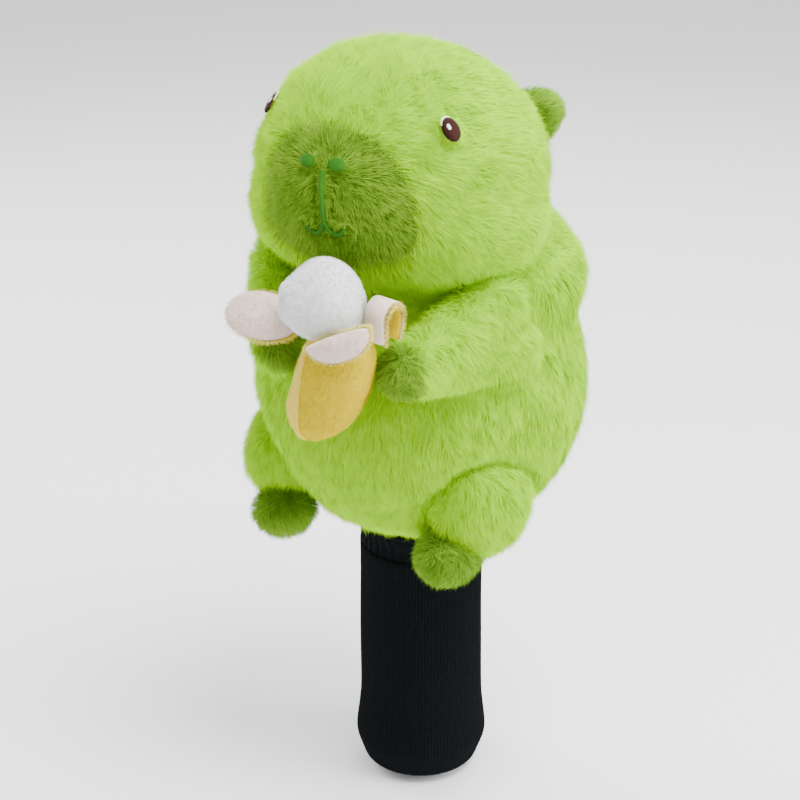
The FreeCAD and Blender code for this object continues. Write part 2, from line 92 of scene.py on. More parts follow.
def melt(amount, *fields):
    """Smooth union."""
    def field(p):
        total = fields[0](p)
        for other in fields[1:]:
            value = other(p)
            h = np.clip(0.5 + 0.5 * (value - total) / amount, 0, 1)
            total = value * (1 - h) + total * h - amount * h * (1 - h)
        return total
    return field


def grow(field, amount):
    return lambda p: field(p) - amount


def slope(field, p, e=0.4):
    """Gradient of a field, by steps of e."""
    out = np.empty_like(p)
    for k in range(3):
        step = np.zeros(3)
        step[k] = e
        out[:, k] = (field(p + step) - field(p - step)) / (2 * e)
    return out


def settle(field, p, rounds=4):
    """Moves points onto a field's zero level."""
    for _ in range(rounds):
        g = slope(field, p)
        p = p - g * (field(p) / np.maximum((g * g).sum(1), 0.05))[:, None]
    return p


def surface(field, low, high, step):
    """Closed quad mesh of a field's zero level (surface nets)."""
    axes = [np.arange(l, h + step, step) for l, h in zip(low, high)]
    grid = np.stack(np.meshgrid(*axes, indexing="ij"), -1)
    inside = (field(grid.reshape(-1, 3)) < 0).reshape(grid.shape[:3])
    n = [slice(None, -1), slice(1, None)]
    count = sum(inside[a, b, c].astype(int) for a in n for b in n for c in n)
    mixed = (count > 0) & (count < 8)
    index = np.full(mixed.shape, -1)
    index[mixed] = np.arange(mixed.sum())
    points = grid[:-1, :-1, :-1][mixed] + step / 2
    quads = []
    for k in range(3):
        a, b = (k + 1) % 3, (k + 2) % 3
        first = np.moveaxis(inside, (k, a, b), (0, 1, 2))
        cell = np.moveaxis(index, (k, a, b), (0, 1, 2))
        edge = first[:-1, 1:-1, 1:-1] != first[1:, 1:-1, 1:-1]
        outward = first[:-1, 1:-1, 1:-1][edge]
        i, j, m = np.nonzero(edge)
        ring = np.stack([cell[i, j, m], cell[i, j + 1, m], cell[i, j + 1, m + 1], cell[i, j, m + 1]], 1)
        ring[~outward] = ring[~outward][:, ::-1]
        quads.append(ring)
    quads = np.concatenate(quads)
    return settle(field, points), quads


# ------------------------------------------------------------------ meshes and materials
def add_mesh(name, points, loops, starts, shades=None, smooth=True):
    """Mesh object from millimetre points and flat lists of face corners."""
    mesh = bpy.data.meshes.new(name)
    mesh.vertices.add(len(points))
    mesh.vertices.foreach_set("co", (np.asarray(points, np.float32) * MM).ravel())
    mesh.loops.add(len(loops))
    mesh.loops.foreach_set("vertex_index", np.asarray(loops, np.int32))
    mesh.polygons.add(len(starts))
    mesh.polygons.foreach_set("loop_start", np.asarray(starts, np.int32))
    if shades is not None:
        mesh.polygons.foreach_set("material_index", np.asarray(shades, np.int32))
    mesh.polygons.foreach_set("use_smooth", np.full(len(starts), smooth))
    mesh.update(calc_edges=True)
    mesh.validate(clean_customdata=False)
    obj = bpy.data.objects.new(name, mesh)
    bpy.context.scene.collection.objects.link(obj)
    return obj


def quad_object(name, points, quads):
    return add_mesh(name, points, quads.ravel(), np.arange(len(quads)) * 4)


def material(name, colour, rough, sheen=0.0, gloss=0.05):
    m = bpy.data.materials.new(name)
    m.use_nodes = True
    shader = m.node_tree.nodes["Principled BSDF"]
    shader.inputs["Base Color"].default_value = (*colour, 1)
    shader.inputs["Roughness"].default_value = rough
    shader.inputs["Sheen Weight"].default_value = sheen
    shader.inputs["Specular IOR Level"].default_value = gloss
    return m


def cloth_material(name, dark, light, scale, bump):
    """Woven or short-pile cloth: two tones mixed by fine noise, with the same noise as relief."""
    m = material(name, light, 0.9)
    tree = m.node_tree
    shader = tree.nodes["Principled BSDF"]
    where = tree.nodes.new("ShaderNodeTexCoord")
    fine = tree.nodes.new("ShaderNodeTexNoise")
    fine.inputs["Scale"].default_value = scale
    fine.inputs["Detail"].default_value = 6
    fine.inputs["Roughness"].default_value = 0.7
    tone = tree.nodes.new("ShaderNodeValToRGB")
    tone.color_ramp.elements[0].color = (*dark, 1)
    tone.color_ramp.elements[1].color = (*light, 1)
    tone.color_ramp.elements[0].position = 0.3
    tone.color_ramp.elements[1].position = 0.7
    relief = tree.nodes.new("ShaderNodeBump")
    relief.inputs["Strength"].default_value = bump
    relief.inputs["Distance"].default_value = 0.0004
    tree.links.new(where.outputs["Object"], fine.inputs["Vector"])
    tree.links.new(fine.outputs["Fac"], tone.inputs["Fac"])
    tree.links.new(tone.outputs["Color"], shader.inputs["Base Color"])
    tree.links.new(fine.outputs["Fac"], relief.inputs["Height"])
    tree.links.new(relief.outputs["Normal"], shader.inputs["Normal"])
    return m


def palette(name, dark, light, steps=8):
    """Fibre colours from dark to light."""
    out = []
    for i in range(steps):
        t = i / (steps - 1)
        colour = [a + (b - a) * t for a, b in zip(dark, light)]
        out.append(material("%s_%d" % (name, i), colour, 0.9, gloss=0.0))
    return out


def dress(obj, materials, body, *nodes, slot=None):
    """Gives a piece its materials, its body and the nodes it stands for; the slot argument is not used."""
    for m in materials if isinstance(materials, list) else [materials]:
        obj.data.materials.append(m)
    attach(obj, body)
    if nodes:
        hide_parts(*nodes)
    return obj


# ------------------------------------------------------------------ pile fabric
def drift(p, scale, seed):
    """Coherent noise vectors, one per point."""
    offset = Vector((seed * 7.3, seed * 3.1, seed * 5.7))
    return np.array([noise.noise_vector(Vector(q) * scale + offset) for q in p])


def scatter(points, quads, density, rng):
    """Random points spread evenly over a quad mesh."""
    a, b, c, d = (points[quads[:, k]] for k in range(4))
    area1 = np.linalg.norm(np.cross(b - a, c - a), axis=1) / 2
    area2 = np.linalg.norm(np.cross(c - a, d - a), axis=1) / 2
    corner = np.concatenate([np.stack([a, b, c], 1), np.stack([a, c, d], 1)])
    area = np.concatenate([area1, area2])
    total = int(area.sum() * density)
    pick = rng.choice(len(area), total, p=area / area.sum())
    u, v = rng.random(total), rng.random(total)
    flip = u + v > 1
    u[flip], v[flip] = 1 - u[flip], 1 - v[flip]
    tri = corner[pick]
    return tri[:, 0] + u[:, None] * (tri[:, 1] - tri[:, 0]) + v[:, None] * (tri[:, 2] - tri[:, 0])


def pile(name, roots, normals, flow, length, width, lean, rng, seed, clump, gather, tint, shades, unruly=1.0):
    """Pile fibres as thin tapered ribbons, combed along flow and drawn into tufts."""
    n = len(roots)
    sway = drift(roots, 0.05, seed)
    ruffle = drift(roots, 0.15, seed + 9)
    comb = flow + unruly * (0.75 * sway + 0.55 * ruffle + rng.normal(0, 0.2, (n, 3)))
    comb = unit(comb - normals * (comb * normals).sum(1)[:, None])
    angle = np.radians(np.clip(lean + unruly * (14 * sway[:, 2] + rng.normal(0, 8, n)), 5, 78))
    first = normals * np.cos(angle * 0.7)[:, None] + comb * np.sin(angle * 0.7)[:, None]
    final = np.minimum(angle * 1.25, 1.5)
    last = normals * np.cos(final)[:, None] + comb * np.sin(final)[:, None]
    size = length * (1 + 0.14 * rng.normal(0, 1, n)) * (1 + 0.2 * ruffle[:, 0])
    size = np.clip(size, 0.3, None)[:, None]
    middle = roots + size * 0.52 * first
    tip = middle + size * 0.48 * last
    if clump > 1:
        chosen = np.arange(0, n, clump)
        tree = kdtree.KDTree(len(chosen))
        for k, i in enumerate(chosen):
            tree.insert(roots[i], k)
        tree.balance()
        lead = chosen[np.array([tree.find(q)[1] for q in roots])]
        spread = roots - roots[lead]
        middle = middle * (1 - 0.35 * gather) + (middle[lead] + spread * 0.5) * 0.35 * gather
        tip = tip * (1 - gather) + (tip[lead] + spread * 0.3) * gather
    along = unit(tip - roots)
    side = unit(np.cross(along, normals) + 1e-6)
    lift = unit(np.cross(side, along))
    twist = rng.normal(0, 0.5, n)
    side = side * np.cos(twist)[:, None] + lift * np.sin(twist)[:, None]
    thick = np.clip(width * (1 + 0.2 * rng.normal(0, 1, n)), 0.3 * width, None)[:, None] / 2
    verts = np.stack([roots - side * thick, roots + side * thick, middle - side * thick * 0.9,
                      middle + side * thick * 0.9, tip], 1)
    facing = np.cross(verts[:, 1] - verts[:, 0], verts[:, 2] - verts[:, 0])
    flipped = (facing * normals).sum(1) < 0
    for a, b in ((0, 1), (2, 3)):
        verts[flipped, a], verts[flipped, b] = verts[flipped, b].copy(), verts[flipped, a].copy()
    loops = (np.arange(n)[:, None] * 5 + np.array([0, 1, 3, 2, 2, 3, 4])).ravel()
    starts = (np.arange(n)[:, None] * 7 + np.array([0, 4])).ravel()
    tone = 0.5 + tint + 0.2 * sway[:, 0] + 0.18 * ruffle[:, 1] + rng.normal(0, 0.1, n)
    tone = (shades - 1) * np.clip(tone, 0, 1)
    # each fibre's root face takes a darker shade and its tip face a lighter one: painted shade deep in the
    # pile and painted light on the tips
    tone = np.clip(np.stack([tone - 0.9, tone + 0.7], 1), 0, shades - 1).round().astype(int)
    obj = add_mesh(name, verts.reshape(-1, 3), loops, starts, tone.ravel())
    soft = unit(normals + 0.22 * lift + 0.25 * ruffle + 0.06 * rng.normal(0, 1, (n, 3)))
    obj.data.normals_split_custom_set_from_vertices(np.repeat(soft, 5, 0).astype(np.float32))
    return obj


def split(name, roots, per):
    """Numbered shares of a large set of roots, so that no piece is too heavy."""
    parts = max(1, int(math.ceil(len(roots) / per)))
    order = np.argsort(roots[:, 2], kind="stable")
    if parts == 1:
        return [(name, roots[order])]
    return [("%s_%d" % (name, k + 1), roots[chunk]) for k, chunk in enumerate(np.array_split(order, parts))]


def furry(name, roots, field, body, shades, flow, length, slot, width=0.17, lean=60, seed=1, tint=0.0,
          clump=9, gather=0.2, unruly=1.0):
    """Pile rooted on a field's surface; flow and length are values or functions of the roots."""
    for label, share in split(name, roots, SHARE):
        normals = unit(slope(field, share))
        size = length(share) if callable(length) else np.full(len(share), float(length))
        way = flow(share) if callable(flow) else np.broadcast_to(np.array(flow, float), share.shape)
        obj = pile(label, share, normals, way, size, width, lean, rng, seed, clump, gather, tint,
                   len(shades), unruly)
        dress(obj, shades, body, slot=slot)


# ------------------------------------------------------------------ stuffed pieces, threads and tubes
def puff(obj, most, pressure=4.0, seam=None):
    """Cloth simulation: the cover fills out by at most so many mm, and seam points stay put."""
    scene = bpy.context.scene
    count = len(obj.data.vertices)
    before = np.empty(count * 3, np.float32)
    obj.data.vertices.foreach_get("co", before)
    cloth = obj.modifiers.new("puff", "CLOTH")
    cloth.settings.use_pressure = True
    cloth.settings.uniform_pressure_force = pressure
    cloth.settings.mass = 0.002
    cloth.settings.quality = 4
    cloth.settings.effector_weights.gravity = 0
    if seam is not None and len(seam):
        group = obj.vertex_groups.new(name="seam")
        group.add([int(i) for i in seam], 1.0, "REPLACE")
        cloth.settings.vertex_group_mass = "seam"
    cloth.point_cache.frame_start = 1
    cloth.point_cache.frame_end = 20
    for step in range(1, 21):
        scene.frame_set(step)
    after = np.empty(count * 3, np.float32)
    obj.evaluated_get(bpy.context.evaluated_depsgraph_get()).data.vertices.foreach_get("co", after)
    obj.modifiers.remove(cloth)
    scene.frame_set(1)
    move = (after - before).reshape(-1, 3) / MM
    size = np.linalg.norm(move, axis=1)
    move *= (most / np.maximum(size, most))[:, None]
    obj.data.vertices.foreach_set("co", before + (move * MM).ravel().astype(np.float32))
    obj.data.update()


def mesh_points(obj):
    """A mesh's points in millimetres."""
    out = np.empty(len(obj.data.vertices) * 3, np.float32)
    obj.data.vertices.foreach_get("co", out)
    return out.reshape(-1, 3).astype(float) / MM


def tubes(name, lines, radius, sides=6):
    """Threads: one closed round tube along each line of points."""
    verts, loops, starts = [], [], []
    total = 0
    for line in lines:
        line = np.asarray(line, float)
        tangent = unit(np.gradient(line, axis=0))
        seed_axis = np.array([0.3, 0.5, 0.81])
        side = unit(np.cross(tangent, seed_axis))
        up = np.cross(tangent, side)
        angle = np.arange(sides) * 2 * np.pi / sides
        ring = np.cos(angle)[None, :, None] * side[:, None] + np.sin(angle)[None, :, None] * up[:, None]
        verts.append((line[:, None] + radius * ring).reshape(-1, 3))
        rows = len(line)
        for i in range(rows - 1):
            for j in range(sides):
                k = (j + 1) % sides
                starts.append(len(loops))
                loops += [total + i * sides + j, total + i * sides + k, total + (i + 1) * sides + k,
                          total + (i + 1) * sides + j]
        starts.append(len(loops))
        loops += [total + j for j in reversed(range(sides))]
        starts.append(len(loops))
        loops += [total + (rows - 1) * sides + j for j in range(sides)]
        total += rows * sides
    return add_mesh(name, np.concatenate(verts), loops, starts)


def satin(centre, across, up, out, wide, tall, dome, pitch=0.42, keep=None):
    """Side-by-side stitches over a padded oval."""
    lines = []
    for t in np.arange(-tall + pitch / 2, tall, pitch):
        half = wide * math.sqrt(max(0.0, 1 - (t / tall) ** 2))
        if half < 0.4:
            continue
        s = np.linspace(-half, half, 9)
        low, high = (-half, half) if keep is None else keep(t)
        s = np.clip(s, low, high)
        if s[-1] - s[0] < 0.5:
            continue
        rise = dome * np.sqrt(np.clip(1 - (s / wide) ** 2 * 0.98 - (t / tall) ** 2 * 0.98, 0.0, 1))
        ends = 0.5 * (np.abs(np.linspace(-1, 1, 9)) > 0.95)
        lines.append(centre + s[:, None] * across + (t + 0.1 * s[:, None]) * up
                     + (rise - ends)[:, None] * out)
    return lines


def spin(name, outline, sides, ribs=0, depth=0.0, waver=0.0, outer=None):
    """Closed ring swept round the Z axis; ribs run up the outer side."""
    outline = np.asarray(outline, float)
    angle = np.arange(sides) * 2 * np.pi / sides
    radius = np.repeat(outline[None, :, 0], sides, 0)
    if ribs:
        wave = depth * (np.abs(np.cos(angle * ribs / 2)) - 0.6)
        radius = radius + wave[:, None] * (np.ones(len(outline)) if outer is None else outer)
    if waver:
        bend = np.sin(angle * 3 + 0.7)[:, None] * np.sin(outline[None, :, 1] * 0.05 + 1.1)
        radius = radius + waver * bend
    z = np.repeat(outline[None, :, 1], sides, 0)
    verts = np.stack([radius * np.cos(angle)[:, None], radius * np.sin(angle)[:, None], z], -1).reshape(-1, 3)
    rows = len(outline)
    i, j = np.meshgrid(np.arange(sides), np.arange(rows), indexing="ij")
    a, b = i.ravel(), j.ravel()
    c, d = (a + 1) % sides, (b + 1) % rows
    quads = np.stack([a * rows + b, c * rows + b, c * rows + d, a * rows + d], 1)
    area = ((outline[:, 0] * np.roll(outline[:, 1], -1)) - (np.roll(outline[:, 0], -1) * outline[:, 1])).sum()
    return quad_object(name, verts, quads if area > 0 else quads[:, ::-1])


def smooth_line(points, steps=8):
    """Catmull-Rom curve through points."""
    p = np.asarray(points, float)
    p = np.concatenate([[2 * p[0] - p[1]], p, [2 * p[-1] - p[-2]]])
    out = []
    for k in range(1, len(p) - 2):
        for t in np.arange(steps) / steps:
            out.append(0.5 * (2 * p[k] + (p[k + 1] - p[k - 1]) * t
                              + (2 * p[k - 1] - 5 * p[k] + 4 * p[k + 1] - p[k + 2]) * t * t
                              + (3 * p[k] - p[k - 1] - 3 * p[k + 1] + p[k + 2]) * t ** 3))
    return np.array(out + [p[-2]])


# ------------------------------------------------------------------ the animal's forms
DENSE = 3.0  # fibres per square millimetre
SINK = 4.5  # depth of the cloth under the tips of the pile
rng = np.random.default_rng(11)
torso = egg((0, -2, 80), (86, 80, 88))
nape = egg((0, 8, 136), (82, 62, 44))
skull = egg((0, -19, 193), (72, 66.5, 58.5), turn("X", -16))
cheeks = egg((0, -25, 171), (77, 57, 35.5))
snout = egg((0, -60, 189), (42, 34, 36))
pocket = egg((0, -2, 77), (63, 63, 63))
SIDES = (("left", 1), ("right", -1))
LEGS = {name: egg((sign * 55, -36, 37), (25, 29, 30)) for name, sign in SIDES}
FEET = {name: egg((sign * 49, -55, 12), (17.5, 20, 16)) for name, sign in SIDES}
ARMS = {"left": melt(5, taper((58, -30, 117), (43, -88, 118), 22, 13.5),
                     taper((58, -36, 138), (49, -70, 124), 18, 14)),
        "right": melt(5, taper((-58, -30, 117), (-22, -91.5, 118), 22, 13.5),
                      taper((-58, -36, 138), (-38, -70, 124), 18, 14))}
PAWS = {"left": egg((43, -88, 118), (14, 14, 14)), "right": egg((-21, -92, 119), (13.5, 13.5, 13.5))}
form = melt(16, torso, nape, melt(12, cheeks, melt(9, skull, snout)))

EYES = {}
for side_name, sign in SIDES:
    out = unit(np.array([sign * 0.63, -0.55, 0.55]))
    up = unit(np.array([0.0, 0.71, 0.71]) - out * (out @ np.array([0.0, 0.71, 0.71])))
    across = np.cross(up, out) * -1
    if across[0] * sign < 0:
        across = -across
    tilt = math.radians(-54)
    EYES[side_name] = (np.array([sign * 48.4, -56.8, 223.3]), out,
                       across * math.cos(tilt) - up * math.sin(tilt),
                       up * math.cos(tilt) + across * math.sin(tilt))


def on_muzzle(x, z):
    """Point of the muzzle's cloth seen from the front at x, z."""
    p = np.array([[x, -95.0, z]])
    for _ in range(8):
        p = settle(form, p, 1)
        p[0, 0], p[0, 2] = x, z
    return settle(form, p, 2)[0]


MOUTH = [smooth_line([on_muzzle(x, z) for x, z in row], 6) for row in (
    [(2.4, 206), (3.4, 199), (4.6, 191), (5.2, 183.6)],
    [(5.2, 183.6), (3.0, 179.4), (-0.6, 177.8), (-4.6, 181.0)],
    [(5.2, 183.6), (7.6, 179.6), (11.0, 178.4), (14.4, 180.6)])]
NOSTRILS = {name: on_muzzle(0.9 + sign * 7.6, 209) for name, sign in SIDES}
ANCHORS = np.concatenate([np.concatenate(MOUTH)[::3], np.array(list(NOSTRILS.values()))])
SEWN = np.concatenate(MOUTH)
CREASES = np.concatenate([smooth_line([(sign * x, y, z) for x, y, z in (
    (74, -38, 99), (78, -34.5, 88), (74.6, -41, 74), (67.7, -49.7, 66), (58.4, -57, 58), (49, -62, 46))], 4)
    for name, sign in SIDES])


def nearest(p, targets):
    """Distance of each point to the nearest target."""
    best = np.full(len(p), 1e9)
    for q in targets:
        best = np.minimum(best, np.linalg.norm(p - q, axis=1))
    return best


def near_eye(p):
    return nearest(p, [EYES[name][0] for name in EYES])


def skin_field(p):
    """Cloth under the pile: sunk by the pile's depth, but level with the embroidery."""
    raised = np.exp(-(near_eye(p) / 8.0) ** 2) + np.exp(-(nearest(p, ANCHORS) / 4.0) ** 2)
    groove = 4.0 * np.exp(-(nearest(p, CREASES) / 3.0) ** 2)
    solid = np.maximum(form(p) + SINK * (1 - np.clip(raised, 0, 1)) + groove, 1.5 - p[:, 2])
    throat = np.maximum(np.hypot(p[:, 0], p[:, 1]) - 32.0, p[:, 2] - 40)
    return np.maximum(solid, -np.minimum(pocket(p), throat))


# ------------------------------------------------------------------ palettes
lime = palette("lime_pile", (0.21, 0.48, 0.0), (0.46, 0.89, 0.0))
dusk = palette("dark_pile", (0.055, 0.15, 0.006), (0.26, 0.48, 0.03))
lime_skin = cloth_material("lime_backing", (0.26, 0.55, 0.0), (0.38, 0.72, 0.0), 900, 0.5)
dusk_skin = cloth_material("dark_backing", (0.04, 0.10, 0.005), (0.10, 0.22, 0.01), 900, 0.5)
knit_black = cloth_material("knit_black", (0.0012, 0.0018, 0.0022), (0.004, 0.0055, 0.0065), 700, 0.4)
lining_black = cloth_material("lining_black", (0.002, 0.003, 0.003), (0.007, 0.008, 0.009), 500, 0.3)
elastic_black = cloth_material("elastic_black", (0.002, 0.003, 0.003), (0.008, 0.009, 0.010), 1200, 0.6)
fibre_white = cloth_material("fibre_white", (0.7, 0.7, 0.7), (0.85, 0.85, 0.84), 300, 0.8)
golden = palette("peel_pile", (0.60, 0.44, 0.0), (0.76, 0.60, 0.005), 4)
butter = palette("peel_side_pile", (0.76, 0.63, 0.08), (0.90, 0.80, 0.20), 4)
blush = palette("inner_pile", (0.78, 0.60, 0.51), (0.92, 0.78, 0.69), 4)
ivory = palette("fruit_pile", (0.74, 0.77, 0.75), (0.84, 0.87, 0.84), 4)
golden_cloth = cloth_material("peel_cloth", (0.54, 0.38, 0.0), (0.68, 0.52, 0.005), 900, 0.2)
butter_cloth = cloth_material("peel_side_cloth", (0.74, 0.52, 0.03), (0.90, 0.70, 0.12), 900, 0.3)
blush_cloth = cloth_material("inner_cloth", (0.76, 0.60, 0.52), (0.86, 0.70, 0.61), 900, 0.15)
ivory_cloth = cloth_material("fruit_cloth", (0.70, 0.73, 0.71), (0.80, 0.83, 0.80), 900, 0.1)
emerald = material("thread_green", (0.03, 0.14, 0.01), 0.5, 0.0)
chestnut = material("thread_brown", (0.035, 0.010, 0.005), 0.4, 0.1)
white_thread = material("thread_white", (0.9, 0.9, 0.9), 0.5, 0.0)
pale_thread = material("thread_pale", (0.75, 0.88, 0.45), 0.5, 0.0)

# ------------------------------------------------------------------ body and head cover
points, quads = surface(skin_field, (-96, -104, -6), (96, 92, 264), 3.0)


def is_snout(p):
    """The dark patch sewn round the muzzle."""
    wide = 38 + 0.28 * (192 - p[:, 2])
    return ((np.abs(p[:, 0]) / wide) ** 2.8 + (np.abs(p[:, 2] - 191.5) / 29.5) ** 2.8 < 1) & (p[:, 1] < -52)


skin = quad_object("plush_skin", points, quads)
puff(skin, 1.2)
points = mesh_points(skin)
centre = points[quads].mean(1)
dress(skin, [lime_skin, dusk_skin, lining_black], "cover_body", "belly_panel", "back_panel",
      "side_panel_left", "side_panel_right", "head_gusset", "head_side_left", "head_side_right",
      "muzzle_panel", "base_panel", slot="lime_plush")
inside = (pocket(centre) < 2.5) | ((np.hypot(centre[:, 0], centre[:, 1]) < 34) & (centre[:, 2] < 42))
finish_index = np.where(inside, 2, is_snout(centre).astype(int))
skin.data.polygons.foreach_set("material_index", finish_index.astype(np.int32))


def body_flow(p):
    """The pile runs away from the muzzle on the head and down on the body."""
    away = unit(p - np.array([0, -90, 196.0]))
    head = np.clip((p[:, 2] - 135) / 25, 0, 1)[:, None]
    return head * (0.75 * away + np.array([0, 0, -0.4])) + (1 - head) * np.array([0, -0.05, -0.9])


def body_length(p):
    """The pile is shorter at the base, round the eyes, beside the limbs and in the creases."""
    size = 9.2 * np.clip(0.2 + (p[:, 2] - 2) / 22, 0.2, 1)
    size *= np.clip((near_eye(p) - 4.0) / 12.0, 0.3, 1)
    for side_name in LEGS:
        by_leg = np.abs(LEGS[side_name](p) - 1)
        by_arm = np.abs(ARMS[side_name](p) - 1) + 90 * (p[:, 2] > 112)
        size *= np.clip(0.4 + np.minimum(by_leg, by_arm) / 9.0, 0.4, 1)
    size *= np.clip(0.1 + nearest(p, CREASES) / 8.0, 0.1, 1)
    return size


def muzzle_length(p):
    """The pile is shorter beside the mouth and the nostrils."""
    sewn = np.minimum(nearest(p, SEWN) + 1.0, nearest(p, ANCHORS[-2:]) - 2.0)
    return 5.2 * np.clip(sewn / 6.0, 0.2, 1)


roots = scatter(points, quads[~inside], DENSE, rng)
hidden = (roots[:, 2] < 2.3) & (np.hypot(roots[:, 0], roots[:, 1]) < 36)
for side_name in ("left", "right"):
    hidden |= LEGS[side_name](roots) < -10
    hidden |= ARMS[side_name](roots) < -10
hidden |= np.linalg.norm(roots - EYES["left"][0], axis=1) < 5.6
hidden |= np.linalg.norm(roots - EYES["right"][0], axis=1) < 5.3
roots = roots[~hidden]
dark = is_snout(roots + rng.normal(0, 1.3, roots.shape))
keep = ~dark | ((nearest(roots, SEWN) > 1.3) & (nearest(roots, ANCHORS[-2:]) > 3.4))
roots, dark = roots[keep], dark[keep]
furry("body_fur", roots[~dark], skin_field, "cover_body", lime, body_flow, body_length, "lime_plush", seed=2)
furry("muzzle_fur", roots[dark], skin_field, "cover_body", dusk,
      lambda p: unit(p - np.array([0, -96, 206.0])) + np.array([0, 0, -0.3]), muzzle_length, "dark_plush",
      seed=5, lean=58, width=0.19, gather=0.28, clump=9)

# ------------------------------------------------------------------ legs, feet, arms and paws
LEG_BOX = (-96, -90, -8), (96, 4, 76)
ARM_BOX = (-96, -115, 84), (96, 10, 154)
for side_name, sign in SIDES:
    limbs = (
        ("leg_" + side_name, LEGS[side_name], "leg_" + side_name, lime, lime_skin, 8.5,
         (sign * 0.1, 0.1, -1), "lime_plush"),
        ("foot_" + side_name, FEET[side_name], "leg_" + side_name, dusk, dusk_skin, 6.5,
         (0, 0.2, -0.9), "dark_plush"),
        ("arm_" + side_name, ARMS[side_name], "arms_and_banana", lime, lime_skin, 8.5,
         (-sign * 0.1, 0.45, -0.8), "lime_plush"),
        ("paw_" + side_name, PAWS[side_name], "arms_and_banana", dusk, dusk_skin, 6.5,
         (-sign * 0.2, 0.3, -0.7), "dark_plush"))
    for label, field, body, shades, backing, length, flow, slot in limbs:
        inner = grow(field, -4.0)
        low, high = LEG_BOX if body.startswith("leg") else ARM_BOX
        sub_points, sub_quads = surface(inner, low, high, 2.5)
        part = quad_object(label + "_skin", sub_points, sub_quads)
        puff(part, 0.8, 40)
        dress(part, backing, body, label, slot=slot)
        sub_roots = scatter(mesh_points(part), sub_quads, DENSE, rng)
        away = form(sub_roots) > (1.0 if label.startswith("arm") else -5)
        if label.startswith("arm"):
            away &= PAWS[side_name](sub_roots) > -4
        if label.startswith("paw"):
            away &= ARMS[side_name](sub_roots) > -4.6
        furry(label + "_fur", sub_roots[away], inner, body, shades, flow, length, slot, seed=7 + (sign > 0))

# ------------------------------------------------------------------ ears
for side_name, sign in SIDES:
    root = np.array([sign * 50.0, 20, 213])
    outward = unit(np.array([sign * 0.80, 0.28, 0.53]))
    front = np.array([sign * 0.30, -0.95, 0.0])
    front = unit(front - outward * (front @ outward))
    hinge = np.cross(outward, front)
    basis = np.stack([hinge, -front, outward], 1)
    middle = root + outward * 2.5 - UP * 1.5 - np.array([sign * 4.2, 2.4, 0])
    lobe = egg(middle, (12, 5.0, 15), basis)
    hollow = egg(middle + front * 5.0 + outward * 1.0, (8.0, 3.4, 10), basis)

    def ear_half(p, way, lobe=lobe, hollow=hollow, middle=middle, front=front):
        shell = np.maximum(lobe(p), -hollow(p))
        shell = np.maximum(shell, 0.1 - way * ((p - middle) @ front))
        return np.maximum(shell, -(skull(p) + 2.5))

    for part_name, way, shades, backing, slot in (("face", 1, dusk, dusk_skin, "dark_plush"),
                                                  ("back", -1, lime, lime_skin, "lime_plush")):
        shell = lambda p, way=way, ear_half=ear_half: ear_half(p, way)
        ear_points, ear_quads = surface(shell, middle - 20, middle + 20, 1.2)
        label = "ear_%s_%s" % (side_name, part_name)
        part = quad_object(label + "_skin", ear_points, ear_quads)
        dress(part, backing, "ear_" + side_name, label, slot=slot)
        ear_roots = scatter(ear_points, ear_quads, DENSE * 1.6, rng)
        shown = (way * ((ear_roots - middle) @ front) > 0.35) & (skull(ear_roots) > -2.0)
        ear_roots = ear_roots[shown]
        furry(label + "_fur", ear_roots, lobe, "ear_" + side_name, shades, outward * 0.9, 5.0, slot,
              seed=20 + (way > 0), width=0.2, lean=58, clump=8, tint=0.3 if way > 0 else 0.0)

# ------------------------------------------------------------------ embroidery
for side_name, sign in SIDES:
    seat, out, across, up = EYES[side_name]
    seat = seat + out * (0.5 if sign > 0 else 0.1)
    iris = tubes("eye_%s_thread" % side_name, satin(seat, across, up, out, 4.0, 5.7, 1.4), 0.27)
    dress(iris, chestnut, "cover_body", "eye_" + side_name, slot="brown_thread")
    spot = seat - across * 0.9 + up * 1.2 + out * 1.35
    glint = tubes("eye_glint_%s_thread" % side_name, satin(spot, across, up, out, 0.9, 1.6, 0.3, 0.3), 0.18)
    dress(glint, white_thread, "cover_body", "eye_glint_" + side_name, slot="white_thread")
    moon = []
    for angle in np.radians(np.arange(62, 146, 4)):
        ray = math.cos(angle) * across * 4.0 + math.sin(angle) * up * 5.7
        swell = 1.0 - ((math.degrees(angle) - 104) / 46) ** 2
        reach = 0.17 * max(swell, 0.05)
        moon.append([seat + ray * (1.0 + reach * t) + out * (0.3 + 0.5 * math.sin(math.pi * t))
                     for t in np.linspace(0, 1, 6)])
    corner = tubes("eye_corner_%s_thread" % side_name, moon, 0.26)
    dress(corner, pale_thread, "cover_body", "eye_corner_" + side_name, slot="pale_thread")
    place = NOSTRILS[side_name]
    out = unit(slope(form, place[None]))[0]
    up = unit(UP - out * out[2])
    across = unit(np.cross(up, out)) * -sign
    slant = 0.5 if sign < 0 else 0.2
    lean_up = unit(up + slant * across)
    lines = satin(place + out * 0.3, unit(across - slant * up), lean_up, out, 4.0, 2.9, 1.2)
    nostril = tubes("nostril_%s_thread" % side_name, lines, 0.27)
    dress(nostril, emerald, "cover_body", "nostril_" + side_name, slot="green_thread")

